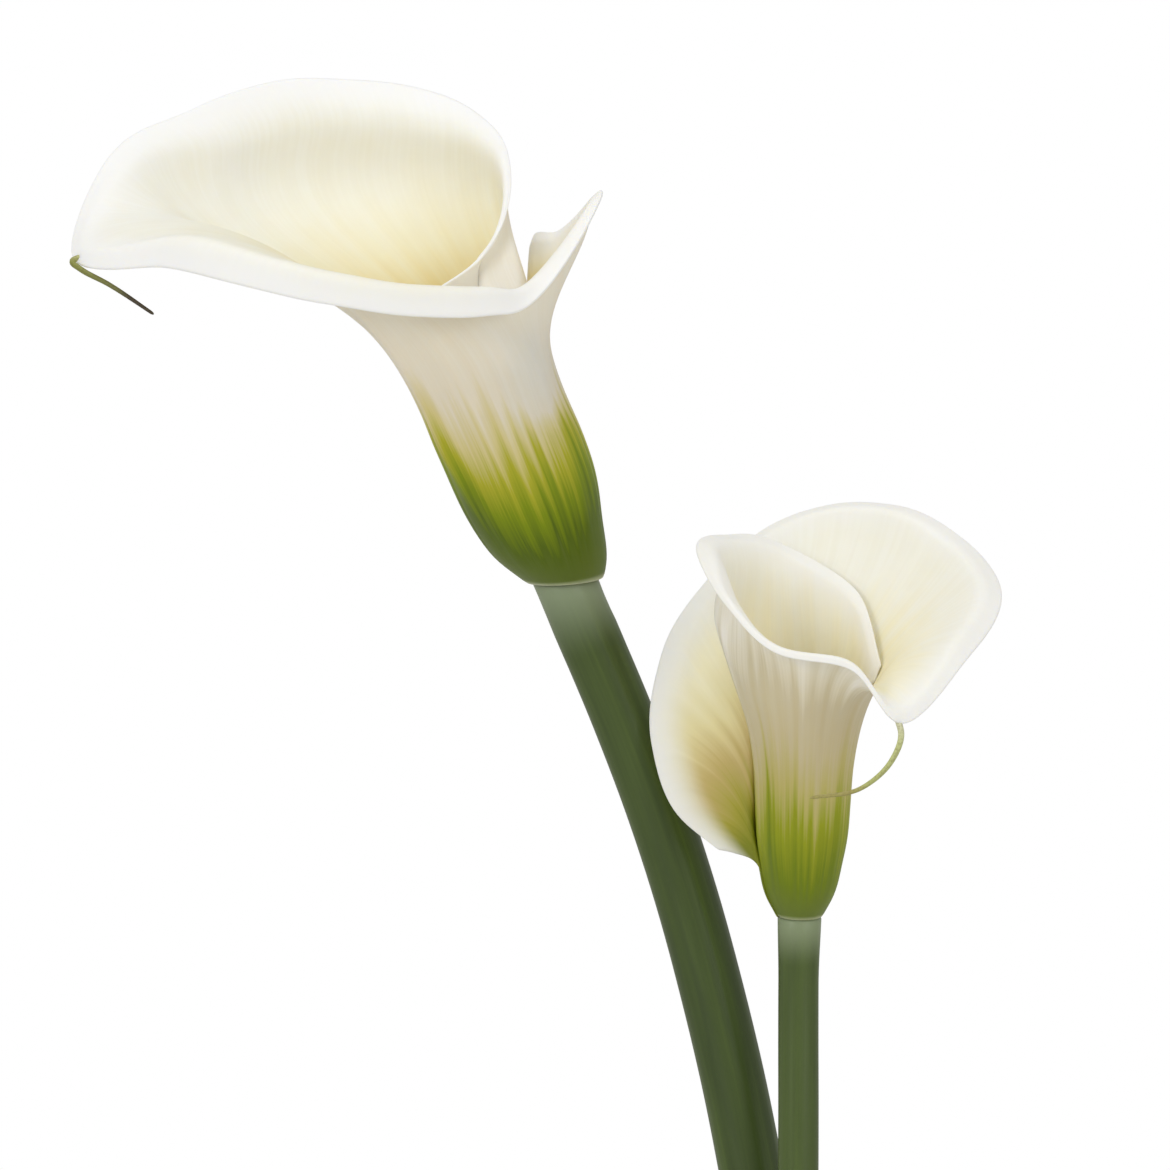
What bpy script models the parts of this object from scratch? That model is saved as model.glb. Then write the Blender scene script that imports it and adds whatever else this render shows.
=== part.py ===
"""Two calla lilies standing in a plain glazed vase.

Metres, +Z up.  The origin is the middle of the vase's flat underside.  Each flower is a stem, a
rolled spathe (the white leaf that looks like a petal, with its tail) and a spadix (the yellow
finger inside it).  The stems lean on the vase's lip and their cut ends stand on its floor.
"""
import math

import bmesh
import bpy
import numpy as np
from mathutils import Vector

MM = 0.001
CLEARANCE = 0.4 * MM            # left between pieces that touch

# Vase: a turned pot, open at the top
VASE_HEIGHT = 200 * MM
MOUTH_RADIUS = 28 * MM          # inside the lip
BODY_RADIUS = 42 * MM           # outside, at the widest
BODY_WIDEST = 74 * MM           # height of the widest place
FOOT_RADIUS = 35 * MM           # outside, where the vase stands
WALL = 4.5 * MM
FLOOR = 7 * MM
LIP_ROUND = 3 * MM              # height of the rounded lip
NECK_LENGTH = 36 * MM           # of the straighter stretch under the lip
NECK_TAPER = 1.5 * MM           # how much wider that stretch is at its lower end
FOOT_CURVE = 2.5 * MM           # height of the turned-in edge at the foot
FLOOR_CURVE = 7 * MM            # of the corner between the floor and the wall inside
VASE_STEPS = 14                 # outline points up the wall
LIP_STEPS = 6                   # of the half circle over the lip
VASE_SIDES = 40
MERGE_DISTANCE = 0.01 * MM      # joins the outline's ends on the vase's axis

# Stems
LARGE_STEM_RADIUS = 8.8 * MM    # at the cut end
LARGE_STEM_TOP = 8.1 * MM       # under the flower
SMALL_STEM_RADIUS = 5.4 * MM
SMALL_STEM_TOP = 5.3 * MM
STEM_SPACING = 3.9 * MM         # between the two stems at the lip
LARGE_LEAN = 180.0              # where the large stem leans on the lip, degrees from +X
LEANING_WIDTH = 1.02            # a leaning stem's level cut is this much wider than the stem
STRAIGHT_TOP = 12 * MM          # the stem runs straight into the funnel over this length
NECK_HEIGHT = 3 * MM            # the stem's end inside the spathe
LARGE_NECK = 7.3 * MM
SMALL_NECK = 3.4 * MM
SHOULDER = 0.04 * MM            # height of the step in from the stem to its neck
STEM_POINTS = 24
STEM_SIDES = 16

# Spathes
LARGE_SHEET = 1.0 * MM
SMALL_SHEET = 0.8 * MM
WRAP_GAP = 0.35 * MM            # between the layers where a spathe wraps over itself
LEAVING_PULL = 1.25             # how far a sheet follows its funnel before it flares
WALL_STEPS = 40                 # points that a line of the sheet is drawn with up the funnel
FLARE_STEPS = 60                # and from there out to the rim

# Spadices
LARGE_SPADIX = (4.6 * MM, 54 * MM)      # radius, length
SMALL_SPADIX = (2.6 * MM, 40 * MM)
SPADIX_SIDES = 14
# Shares of the length and of the radius, from the foot to the rounded tip
SPADIX_SHAPE = ((0.0, 0.62), (0.12, 0.85), (0.35, 1.0), (0.6, 1.0), (0.8, 0.9), (0.92, 0.66),
                (0.98, 0.36), (1.0, 0.1))

# Routes of the stems above the lip, from the place where each leans on it (millimetres)
LARGE_RISE = ((-13.4, 0.0, 71), (-27.6, -1.0, 123), (-46.8, -5.0, 173), (-55.5, -9.5, 193.4))
SMALL_RISE = ((0.2, -3.5, 50), (0.4, -8.0, 106))
LARGE_FOOT = (7.0, 5.0)         # where the cut ends stand on the vase's floor (millimetres)
SMALL_FOOT = (-11.0, -10.0)

# Directions of the funnels
LARGE_AXIS = Vector((-0.41, -0.30, 1.0)).normalized()
SMALL_AXIS = Vector((0.015, -0.18, 1.0)).normalized()

# Half width of each funnel at heights up it (millimetres); the base follows from the neck
LARGE_TUBE = ((4, 10.8), (12, 13.8), (26, 16.2), (46, 17.0), (66, 19.0), (90, 24.0))
SMALL_TUBE = ((5, 7.4), (16, 10.1), (30, 11.2), (40, 11.8), (52, 14.0), (62, 17.5), (80, 23.5))

# Rims, from the inner margin round to the outer one: the angle round the funnel (degrees), how
# high the sheet leaves the funnel, the rim point from the middle of the funnel's base
# (millimetres, X Y Z), and the rise of the sheet where it ends (degrees, negative turned down)
LARGE_RIM = (
    (-75, 66, (-33, -31, 74), 80),
    (-35, 68, (-17, -14, 88), 82),
    (0, 68, (-13.5, 3, 105), 80),
    (35, 64, (-19.5, 19, 119.5), 60),
    (70, 62, (-38, 30, 129.5), 40),
    (105, 60, (-69, 30, 132), 30),
    (140, 60, (-97, 20, 124), 20),
    (168, 62, (-120, 3, 109.5), 0),
    (190, 64, (-127.4, -24, 83), -50),
    (215, 64, (-103, -43, 80.5), -55),
    (245, 63, (-77, -54, 74), -60),
    (275, 62, (-50, -57, 68.5), -65),
    (310, 60, (-20, -49, 68), -60),
    (330, 58, (-9, -41, 70.5), -40),
    (348, 56, (3, -27, 86), 20),
    (362, 56, (10, -14, 101), 45),
    (380, 58, (-2, 6, 91), 60),
    (392, 58, (-8, 9, 90.5), 65),
    (404, 60, (-7.5, 11.5, 82), 75),
    (412, 62, (-9, 12, 75), 75),
)
SMALL_RIM = (
    (15, 58, (21, -9, 65), 75),
    (50, 60, (16, 6, 83), 70),
    (95, 60, (-2.6, 14, 96), 65),
    (140, 66, (-18, 8, 99), 45),
    (180, 76, (-27, -7, 96), 30),
    (215, 62, (-21, -26, 83), -30),
    (255, 54, (-7, -39, 68.5), -50),
    (290, 52, (13, -45, 64), -60),
    (318, 54, (26, -48, 50.5), -60),
    (345, 52, (42, -36, 66), -40),
    (372, 50, (52, -17, 82), -10),
    (400, 50, (46, 3, 95), 25),
    (435, 50, (26, 20, 106.5), 50),
    (475, 50, (-2, 27, 104), 50),
    (505, 42, (-23, 24, 88), 50),
    (525, 32, (-36, 17, 67), 40),
    (538, 20, (-38.5, 10, 45.5), 15),
    (547, 14, (-32, 6, 26.5), 10),
    (553, 11, (-21, 3, 17), 15),
)

# Tails at the tips of the spathes, from inside the sheet (millimetres from the funnel's base)
LARGE_TAIL = ((-122, -25, 84.5), (-127.6, -27, 82.5), (-125.5, -29, 80.6), (-118, -32, 76.5),
              (-106, -36, 68.5))
SMALL_TAIL = ((23, -46, 53.5), (25.2, -48.6, 49), (22.8, -51, 41.4), (15.4, -52, 34.4),
              (1.8, -50, 31.4))
TAIL_THICK = 0.9 * MM
TAIL_THIN = 0.45 * MM
TAIL_POINTS = 12
TAIL_SIDES = 8

LARGE_GRID = (48, 18)           # faces round and up the large spathe
SMALL_GRID = (52, 18)
ANGLE_SHARE = 0.4               # of the spacing of the lines by angle, the rest by rim length
ROUTE_STEPS = 400               # points that a smooth route is drawn with before it is spaced
RIM_STEPS = 600                 # points that a rim's length is measured with


def material(name, colour, roughness):
    made = bpy.data.materials.new(name)
    made.use_nodes = True
    shader = made.node_tree.nodes["Principled BSDF"]
    shader.inputs["Base Color"].default_value = (*colour, 1.0)
    shader.inputs["Roughness"].default_value = roughness
    shader.inputs["Metallic"].default_value = 0.0
    return made


def add_object(name, mesh, made_of):
    mesh.materials.append(made_of)
    mesh.shade_smooth()
    piece = bpy.data.objects.new(name, mesh)
    bpy.context.scene.collection.objects.link(piece)
    return piece


def smooth_values(knots, values, where):
    """Cubic curve through values at knots, read at where; works on numbers and on points."""
    knots = np.asarray(knots, float)
    values = np.asarray(values, float).reshape(len(knots), -1)
    steps = np.diff(knots)
    slopes = np.diff(values, axis=0) / steps[:, None]
    tangents = np.empty_like(values)
    tangents[0] = slopes[0]
    tangents[-1] = slopes[-1]
    before = steps[:-1, None]
    after = steps[1:, None]
    tangents[1:-1] = (after * slopes[:-1] + before * slopes[1:]) / (before + after)
    where = np.asarray(where, float)
    cell = np.clip(np.searchsorted(knots, where, side="right") - 1, 0, len(knots) - 2)
    width = steps[cell][:, None]
    t = ((where - knots[cell]) / steps[cell])[:, None]
    start = (2 * t ** 3 - 3 * t ** 2 + 1) * values[cell]
    end = (3 * t ** 2 - 2 * t ** 3) * values[cell + 1]
    start_turn = (t ** 3 - 2 * t ** 2 + t) * width * tangents[cell]
    end_turn = (t ** 3 - t ** 2) * width * tangents[cell + 1]
    return start + end + start_turn + end_turn


def smooth_route(points, count):
    """Evenly spaced points along a smooth curve through the given ones."""
    points = np.asarray(points, float)
    lengths = np.linalg.norm(np.diff(points, axis=0), axis=1)
    knots = np.concatenate(([0.0], np.cumsum(lengths)))
    fine = smooth_values(knots, points, np.linspace(0.0, knots[-1], ROUTE_STEPS))
    return even_points(fine, count)


def even_points(points, count):
    """Resamples a polyline to count points an equal distance apart."""
    lengths = np.linalg.norm(np.diff(points, axis=0), axis=1)
    along = np.concatenate(([0.0], np.cumsum(lengths)))
    wanted = np.linspace(0.0, along[-1], count)
    return np.stack([np.interp(wanted, along, points[:, i]) for i in range(3)], axis=1)


def axis_frame(axis):
    """Two directions across a funnel's axis: one to the right, one to the back."""
    right = (Vector((1, 0, 0)) - axis * axis.x).normalized()
    back = axis.cross(right)
    return right, back


def tube_mesh(name, route, radii, sides):
    """Solid round tube along a route, with flat ends."""
    shape = bmesh.new()
    points = [Vector(p) for p in route]
    rings = []
    across = Vector((1, 0, 0))
    for i, point in enumerate(points):
        ahead = (points[min(i + 1, len(points) - 1)] - points[max(i - 1, 0)]).normalized()
        across = (across - ahead * across.dot(ahead)).normalized()
        other = ahead.cross(across)
        ring = []
        for k in range(sides):
            turn = 2 * math.pi * k / sides
            offset = across * math.cos(turn) + other * math.sin(turn)
            ring.append(shape.verts.new(point + offset * radii[i]))
        rings.append(ring)
    for lower, upper in zip(rings, rings[1:]):
        for k in range(sides):
            after = (k + 1) % sides
            shape.faces.new((lower[k], lower[after], upper[after], upper[k]))
    shape.faces.new(list(reversed(rings[0])))
    shape.faces.new(rings[-1])
    bmesh.ops.recalc_face_normals(shape, faces=shape.faces)
    mesh = bpy.data.meshes.new(name)
    shape.to_mesh(mesh)
    shape.free()
    return mesh


def wall_radius(tube, base_radius, height):
    """Half width of a funnel at heights up it, in metres."""
    knots = [0.0] + [h * MM for h, _ in tube]
    radii = [base_radius] + [r * MM for _, r in tube]
    return smooth_values(knots, radii, height)[:, 0]


def meridian(axis, tube, base_radius, layer, station, count):
    """One line of a spathe from its base to its rim: up the funnel, then out to the rim point."""
    angle, leave, x, y, z, rise = station
    right, back = axis_frame(axis)
    turn = math.radians(angle)
    outward = np.array(right * math.cos(turn) + back * math.sin(turn))
    axis_line = np.array(axis)
    heights = np.linspace(0.0, leave * MM, WALL_STEPS)
    radii = wall_radius(tube, base_radius, heights) + layer
    wall = heights[:, None] * axis_line + radii[:, None] * outward
    start = wall[-1]
    end = np.array((x, y, z)) * MM
    leaving = (wall[-1] - wall[-2]) / np.linalg.norm(wall[-1] - wall[-2])
    away = end - leave * MM * axis_line
    away[2] = 0.0
    away = away / np.linalg.norm(away)
    slope = math.radians(rise)
    arriving = away * math.cos(slope)
    arriving[2] = math.sin(slope)
    reach = np.linalg.norm(end - start)
    leaving = leaving * reach * LEAVING_PULL
    arriving = arriving * reach
    t = np.linspace(0.0, 1.0, FLARE_STEPS)[1:, None]
    flare = (2 * t ** 3 - 3 * t ** 2 + 1) * start
    flare = flare + (3 * t ** 2 - 2 * t ** 3) * end
    flare = flare + (t ** 3 - 2 * t ** 2 + t) * leaving + (t ** 3 - t ** 2) * arriving
    return even_points(np.concatenate((wall, flare)), count)


def line_angles(knots, columns, count):
    """Angles of a spathe's lines, closer together where the rim runs far in a small angle."""
    fine = np.linspace(knots[0], knots[-1], RIM_STEPS)
    rim = smooth_values(knots, columns, fine)[:, 1:4]
    run = np.concatenate(([0.0], np.cumsum(np.linalg.norm(np.diff(rim, axis=0), axis=1))))
    turn = (fine - fine[0]) / (fine[-1] - fine[0])
    share = ANGLE_SHARE * turn + (1 - ANGLE_SHARE) * run / run[-1]
    return np.interp(np.linspace(0.0, 1.0, count), share, fine)


def spathe_mesh(name, base, axis, tube, rim, neck, sheet, grid):
    """The rolled sheet's middle surface, from the inner margin round to the outer one."""
    across, up = grid
    knots = [row[0] for row in rim]
    columns = [(row[1], *row[2], row[3]) for row in rim]
    angles = line_angles(knots, columns, across + 1)
    table = smooth_values(knots, columns, angles)
    base_radius = neck + CLEARANCE + sheet / 2
    shape = bmesh.new()
    lines = []
    for angle, row in zip(angles, table):
        layer = (sheet + WRAP_GAP) * (angle - knots[0]) / 360.0
        points = meridian(axis, tube, base_radius, layer, (angle, *row), up + 1)
        lines.append([shape.verts.new(Vector(p) + base) for p in points])
    for here, there in zip(lines, lines[1:]):
        for k in range(up):
            shape.faces.new((here[k], there[k], there[k + 1], here[k + 1]))
    mesh = bpy.data.meshes.new(name)
    shape.to_mesh(mesh)
    shape.free()
    return mesh


def add_tail(name, spathe, base, points, made_of):
    """The thread at the spathe's tip, joined to the sheet it grows from."""
    route = smooth_route(np.array(points) * MM, TAIL_POINTS) + np.array(base)
    radii = np.linspace(TAIL_THICK, TAIL_THIN, len(route))
    tail = add_object(name, tube_mesh(name, route, radii, TAIL_SIDES), made_of)
    tail.hide_render = True
    tail.display_type = "WIRE"
    join = spathe.modifiers.new("tail", "BOOLEAN")
    join.operation = "UNION"
    join.solver = "EXACT"
    join.object = tail


def add_spathe(name, base, axis, tube, rim, neck, sheet, grid, tail, made_of):
    mesh = spathe_mesh(name, base, axis, tube, rim, neck, sheet, grid)
    spathe = add_object(name, mesh, made_of)
    thicken = spathe.modifiers.new("sheet", "SOLIDIFY")
    thicken.thickness = sheet
    thicken.offset = 0.0
    add_tail(name + "_tail", spathe, base, tail, made_of)
    return spathe


def standing_end(place, lean, radius):
    """Middle of a stem's cut end when its lowest edge stands on the vase's floor."""
    foot = Vector((place[0] * MM, place[1] * MM, FLOOR + CLEARANCE))
    tilt = (lean - foot).normalized()
    foot.z += radius * math.hypot(tilt.x, tilt.y)
    return foot


def add_stem(name, place, lean, rise, foot_radius, top_radius, neck, axis, made_of):
    """A stem from its cut end in the vase to the flower, with a short neck inside the spathe."""
    foot = standing_end(place, lean, foot_radius)
    above = [lean + Vector(p) * MM for p in rise]
    head = above[-1]
    under = head - axis * STRAIGHT_TOP
    end = head - axis * CLEARANCE
    route = smooth_route([foot, lean, *above[:-1], under, end], STEM_POINTS)
    radii = list(np.linspace(foot_radius, top_radius, len(route)))
    route = [*route, end + axis * SHOULDER, head + axis * NECK_HEIGHT]
    radii = [*radii, neck, neck]
    add_object(name, tube_mesh(name, route, radii, STEM_SIDES), made_of)
    return head


def add_spadix(name, base, axis, size, made_of):
    """A finger on the stem's end, inside the funnel, with a rounded tip."""
    radius, length = size
    start = NECK_HEIGHT + CLEARANCE
    route = [base + axis * (start + length * height) for height, _ in SPADIX_SHAPE]
    radii = [radius * width for _, width in SPADIX_SHAPE]
    return add_object(name, tube_mesh(name, route, radii, SPADIX_SIDES), made_of)


def vase_profile():
    """Half section of the vase from the middle of its underside round to the floor inside."""
    neck_outer = MOUTH_RADIUS + WALL
    lip_height = VASE_HEIGHT - LIP_ROUND
    heights = np.linspace(FOOT_CURVE, lip_height, VASE_STEPS)
    knots = (FOOT_CURVE, BODY_WIDEST, lip_height - NECK_LENGTH, lip_height)
    widths = (FOOT_RADIUS + FOOT_CURVE / 2, BODY_RADIUS, neck_outer + NECK_TAPER, neck_outer)
    outer = smooth_values(knots, widths, heights)[:, 0]
    points = [(0.0, 0.0), (FOOT_RADIUS, 0.0)]
    points += list(zip(outer, heights))
    lip_middle = MOUTH_RADIUS + WALL / 2
    for step in range(1, LIP_STEPS):
        turn = math.pi * step / LIP_STEPS
        points.append((lip_middle + WALL / 2 * math.cos(turn),
                       lip_height + LIP_ROUND * math.sin(turn)))
    inner = outer - WALL
    above_floor = heights > FLOOR + FLOOR_CURVE
    points += list(zip(inner[above_floor], heights[above_floor]))[::-1]
    corner = FOOT_RADIUS - WALL
    points += [(corner, FLOOR + FLOOR_CURVE / 3), (corner - FLOOR_CURVE / 2, FLOOR), (0.0, FLOOR)]
    return points


def add_vase(made_of):
    shape = bmesh.new()
    verts = [shape.verts.new((r, 0.0, z)) for r, z in vase_profile()]
    edges = [shape.edges.new(pair) for pair in zip(verts, verts[1:])]
    bmesh.ops.spin(shape, geom=verts + edges, cent=(0, 0, 0), axis=(0, 0, 1),
                   angle=2 * math.pi, steps=VASE_SIDES, use_merge=True)
    bmesh.ops.remove_doubles(shape, verts=shape.verts, dist=MERGE_DISTANCE)
    bmesh.ops.recalc_face_normals(shape, faces=shape.faces)
    mesh = bpy.data.meshes.new("vase")
    shape.to_mesh(mesh)
    shape.free()
    return add_object("vase", mesh, made_of)


def lean_distance(radius):
    """From the vase's axis to the middle of a stem that leans on the inside of the lip."""
    return MOUTH_RADIUS - radius * LEANING_WIDTH - CLEARANCE


def lean_point(radius, degrees):
    away = lean_distance(radius)
    turn = math.radians(degrees)
    return Vector((away * math.cos(turn), away * math.sin(turn), VASE_HEIGHT))


def small_lean_angle():
    """Turns round the lip from the large stem until the two stems are STEM_SPACING apart."""
    large = lean_distance(LARGE_STEM_RADIUS)
    small = lean_distance(SMALL_STEM_RADIUS)
    apart = LARGE_STEM_RADIUS + SMALL_STEM_RADIUS + STEM_SPACING
    cosine = (large ** 2 + small ** 2 - apart ** 2) / (2 * large * small)
    return LARGE_LEAN + math.degrees(math.acos(cosine))


def build():
    for old in list(bpy.data.objects):
        bpy.data.objects.remove(old, do_unlink=True)
    glaze = material("white_glaze", (0.82, 0.80, 0.74), 0.2)
    large_green = material("large_stem_green", (0.055, 0.085, 0.018), 0.5)
    small_green = material("small_stem_green", (0.075, 0.11, 0.03), 0.5)
    large_white = material("large_spathe_white", (0.88, 0.86, 0.76), 0.5)
    small_white = material("small_spathe_white", (0.86, 0.83, 0.71), 0.5)
    yellow = material("spadix_yellow", (0.85, 0.55, 0.08), 0.7)

    add_vase(glaze)
    lean = lean_point(LARGE_STEM_RADIUS, LARGE_LEAN)
    head = add_stem("large_stem", LARGE_FOOT, lean, LARGE_RISE, LARGE_STEM_RADIUS,
                    LARGE_STEM_TOP, LARGE_NECK, LARGE_AXIS, large_green)
    add_spathe("large_spathe", head, LARGE_AXIS, LARGE_TUBE, LARGE_RIM, LARGE_NECK,
               LARGE_SHEET, LARGE_GRID, LARGE_TAIL, large_white)
    add_spadix("large_spadix", head, LARGE_AXIS, LARGE_SPADIX, yellow)

    lean = lean_point(SMALL_STEM_RADIUS, small_lean_angle())
    head = add_stem("small_stem", SMALL_FOOT, lean, SMALL_RISE, SMALL_STEM_RADIUS,
                    SMALL_STEM_TOP, SMALL_NECK, SMALL_AXIS, small_green)
    add_spathe("small_spathe", head, SMALL_AXIS, SMALL_TUBE, SMALL_RIM, SMALL_NECK,
               SMALL_SHEET, SMALL_GRID, SMALL_TAIL, small_white)
    add_spadix("small_spadix", head, SMALL_AXIS, SMALL_SPADIX, yellow)


build()
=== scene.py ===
"""Two calla lilies in a plain glazed vase: the visible pieces, their finishes, floor and light.

Metres, in the frame's own space.  A spathe is one rolled sheet: a flat grid whose lines are laid
up the funnel and out to the rim, then given a wall.
"""
import math

import bmesh
import bpy
import numpy as np
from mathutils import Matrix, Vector


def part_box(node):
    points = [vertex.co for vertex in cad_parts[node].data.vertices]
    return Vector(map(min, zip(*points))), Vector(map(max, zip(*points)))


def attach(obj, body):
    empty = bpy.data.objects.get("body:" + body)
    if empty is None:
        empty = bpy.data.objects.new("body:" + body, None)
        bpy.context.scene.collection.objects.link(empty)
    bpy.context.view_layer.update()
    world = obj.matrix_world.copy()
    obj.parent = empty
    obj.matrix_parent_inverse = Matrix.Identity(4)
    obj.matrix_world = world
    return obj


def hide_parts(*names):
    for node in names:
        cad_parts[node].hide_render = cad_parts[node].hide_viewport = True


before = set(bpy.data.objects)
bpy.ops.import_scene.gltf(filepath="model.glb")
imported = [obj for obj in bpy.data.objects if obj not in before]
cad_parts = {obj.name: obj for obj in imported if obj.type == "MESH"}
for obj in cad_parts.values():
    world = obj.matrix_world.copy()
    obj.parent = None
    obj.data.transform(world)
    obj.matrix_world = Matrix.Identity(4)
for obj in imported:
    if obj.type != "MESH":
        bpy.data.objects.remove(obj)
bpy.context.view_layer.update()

MM = 0.001
CURVE_STEPS = 600               # points that a smooth curve is drawn with before it is spaced
MERGE_DISTANCE = 0.001 * MM     # joins seams and poles

# ---------------------------------------------------------------- sizes
# Vase
MOUTH_RADIUS = 28 * MM          # inside the lip
BODY_WIDEST = 74 * MM           # height of the widest place
FOOT_RADIUS = 35 * MM
WALL = 4.5 * MM
FLOOR = 7 * MM
LIP_ROUND = 3 * MM              # height of the rounded lip
NECK_LENGTH = 36 * MM           # of the straighter stretch under the lip
NECK_TAPER = 1.5 * MM           # how much wider that stretch is at its lower end
FOOT_CURVE = 2.5 * MM           # height of the turned-in edge at the foot
FLOOR_CURVE = 7 * MM            # of the corner between the floor and the wall inside
THROWING_RING = 6.5 * MM        # from one throwing ring to the next
RING_DEPTH = 0.1 * MM
INNER_RING_SHARE = 0.7          # how deep the rings are inside, as a share of those outside
# Underside from its middle to the foot's edge: distance in from the edge, height (millimetres)
FOOT_RING = ((6.5, 1.2), (5.5, 0.3), (4.5, 0.0), (0.6, 0.0), (0.0, 0.4))
BARE_FOOT = 2.2 * MM            # height up to which the clay is left without glaze
RINGS_BEGIN = (6 * MM, 20 * MM)     # heights between which the throwing rings set in
RINGS_FADE = 14 * MM            # length under the lip over which they die out
GLAZE_THINS = (197.5 * MM, 200 * MM)    # heights between which the glaze thins on the lip
WALL_STEPS = 110                # outline points up the wall
LIP_STEPS = 12                  # of the half circle over the lip
CORNER_STEPS = 6                # of the quarter circle at the floor inside
VASE_SIDES = 128

# Stems
NECK_HEIGHT = 3 * MM            # the stem's end inside the spathe
END_DEPTH = 0.1 * MM            # the CAD's points this near to the farthest one are on its end
LARGE_STEM = (8.8 * MM, 8.1 * MM, 7.3 * MM)     # radius at the cut end, under the flower, neck
SMALL_STEM = (5.4 * MM, 5.2 * MM, 3.4 * MM)
STEM_LEVELS = 16                # at which the CAD stem's middle is read
LEVEL_MARGIN = 14 * MM          # from the stem's ends to the first and the last of them
STRAIGHT_TOP = 6 * MM           # length over which the stem runs straight into the funnel
HEAD_GAP = 0.4 * MM             # from the stem's swollen end to the funnel's base
STEM_SWELL = 0.5 * MM           # how much the stem swells under the flower
CUT_EDGE = 0.25 * MM            # how far the edge of the cut end is drawn in
CUT_REACH = 1.5 * MM            # how far up the cut end's pale colour reaches
SHOULDER = (0.35 * MM, 0.6 * MM)    # step inwards at the top, and height of the slope to the neck
STEM_POINTS = 90
SWELL_POINTS = 6                # of them, from where the stem swells to its end
STEM_SIDES = 48
STEM_OVAL = 0.03                # out of round, as a share of the radius
STEM_RIB = 0.006                # height of the shallow ribs, as a share of the radius
STEM_TRIM = 0.02                # taken off all round, so that the ribs stay inside the CAD's size
STEM_WAVES = ((9, 16, 25), (0.2, 1.9, 3.0))     # waves round the stem, and their phases

# Directions of the funnels, and of the large funnel's foot, where it stands on the bent stem
LARGE_AXIS = Vector((-0.41, -0.30, 1.0)).normalized()
SMALL_AXIS = Vector((0.015, -0.18, 1.0)).normalized()
LARGE_FOOT_AXIS = Vector((-0.06, -0.16, 1.0)).normalized()
END_BLEND = 24 * MM             # how far down the stem its rings turn to face it
FOOT_BLEND = 16 * MM            # how far up the foot's direction gives way to the funnel's

# Half width of each funnel at heights up it (millimetres)
LARGE_TUBE = ((0, 8.6), (1.2, 9.3), (4, 11.0), (12, 13.9), (26, 16.2), (46, 17.0), (66, 19.0),
              (90, 24.0))
SMALL_TUBE = ((0, 5.0), (1.2, 5.6), (5, 7.7), (16, 10.2), (30, 11.2), (40, 11.8), (52, 14.0),
              (62, 17.5), (80, 23.5))

# Rims, from the inner margin round to the outer one: angle round the funnel (degrees), height
# at which the sheet leaves the funnel, rim point from the funnel's base (millimetres), rise of
# the sheet under its lip, how much the lip bends outwards (degrees), its width (millimetres)
LARGE_RIM = (
    (-75, 58, (-35, -31, 73.5), 80, 30, 3),
    (-35, 63, (-18.5, -14, 87.5), 88, 50, 3.5),
    (0, 67, (-14, 3, 105), 98, 60, 5),
    (35, 64, (-19.5, 19, 119.5), 106, 62, 9),
    (70, 62, (-38, 30, 129.5), 110, 62, 13),
    (105, 60, (-69, 30, 132), 110, 60, 14),
    (140, 60, (-97, 20, 124), 95, 55, 12),
    (168, 62, (-120, 3, 109.5), 55, 50, 7),
    (190, 68, (-127.4, -24, 83), -30, 25, 4),
    (215, 70, (-103, -43, 80.5), 0, 75, 8),
    (245, 66, (-77, -54, 74), 10, 90, 8),
    (275, 62, (-50, -57, 68.5), 15, 95, 8),
    (310, 60, (-20, -49, 68), 30, 105, 8),
    (330, 58, (-9, -41, 70.5), 60, 115, 7),
    (348, 56, (3, -27, 86), 85, 95, 4.5),
    (362, 56, (10, -14, 101), 85, 50, 3.5),
    (380, 58, (-2, 6, 91), 80, 30, 3),
    (392, 58, (-8, 9, 90.5), 80, 30, 3),
    (404, 60, (-7.5, 11.5, 82), 80, 20, 3),
    (412, 62, (-9, 12, 75), 80, 10, 3),
)
SMALL_RIM = (
    (15, 58, (21, -9, 65), 78, 10, 3),
    (50, 60, (16, 6, 83), 80, 30, 3),
    (95, 60, (-2.6, 14, 96), 78, 40, 4),
    (140, 66, (-18, 8, 99), 65, 45, 5),
    (180, 76, (-27, -7, 96), 50, 50, 4.5),
    (215, 62, (-21, -26, 83), 15, 75, 1.9),
    (255, 54, (-7, -39, 68.5), 5, 75, 1.8),
    (290, 52, (13, -45, 64), -10, 65, 2),
    (318, 54, (26, -48, 50.5), -45, 25, 3),
    (345, 52, (42, -36, 66), 5, 55, 5.5),
    (372, 50, (52, -17, 82), 35, 65, 6),
    (400, 50, (46, 3, 95), 58, 65, 5.5),
    (435, 50, (26, 20, 106.5), 72, 60, 5),
    (475, 50, (-2, 27, 104), 65, 45, 4),
    (505, 42, (-23, 24, 88), 58, 45, 5),
    (525, 32, (-36, 17, 67), 50, 50, 6),
    (538, 20, (-38.5, 10, 45.5), 28, 50, 6),
    (547, 14, (-32, 6, 26.5), 12, 30, 5),
    (553, 11, (-21, 3, 17), 15, 5, 3),
)

# Soft folds up the large funnel: angle (degrees), half width (degrees), heights between which
# it rises out of the wall, and how far it stands out (millimetres)
LARGE_FOLDS = ((222, 10, 22, 50, 2.3), (350, 34, 36, 54, -1.2), (262, 16, 30, 56, 0.5),
               (198, 26, 44, 66, -2.2))
SMALL_FOLDS = ((236, 14, 24, 46, 0.5), (312, 12, 20, 44, 0.4))

# Where the colours reach higher (or, negative, less high) up the funnels: angle and half width
# (degrees), by how much, and the heights between which that sets in (millimetres)
# The last, negative one makes the sheet paler there: partly its own whiter colour, partly painted
# light that lifts its shade
LARGE_SHIFTS = ((335, 30, 8, 0, 20), (205, 34, 13, 0, 20), (322, 26, -50, 44, 64))
SMALL_SHIFTS = ((228, 22, 5, 0, 20), (318, 4, 9, 0, 20))

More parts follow.
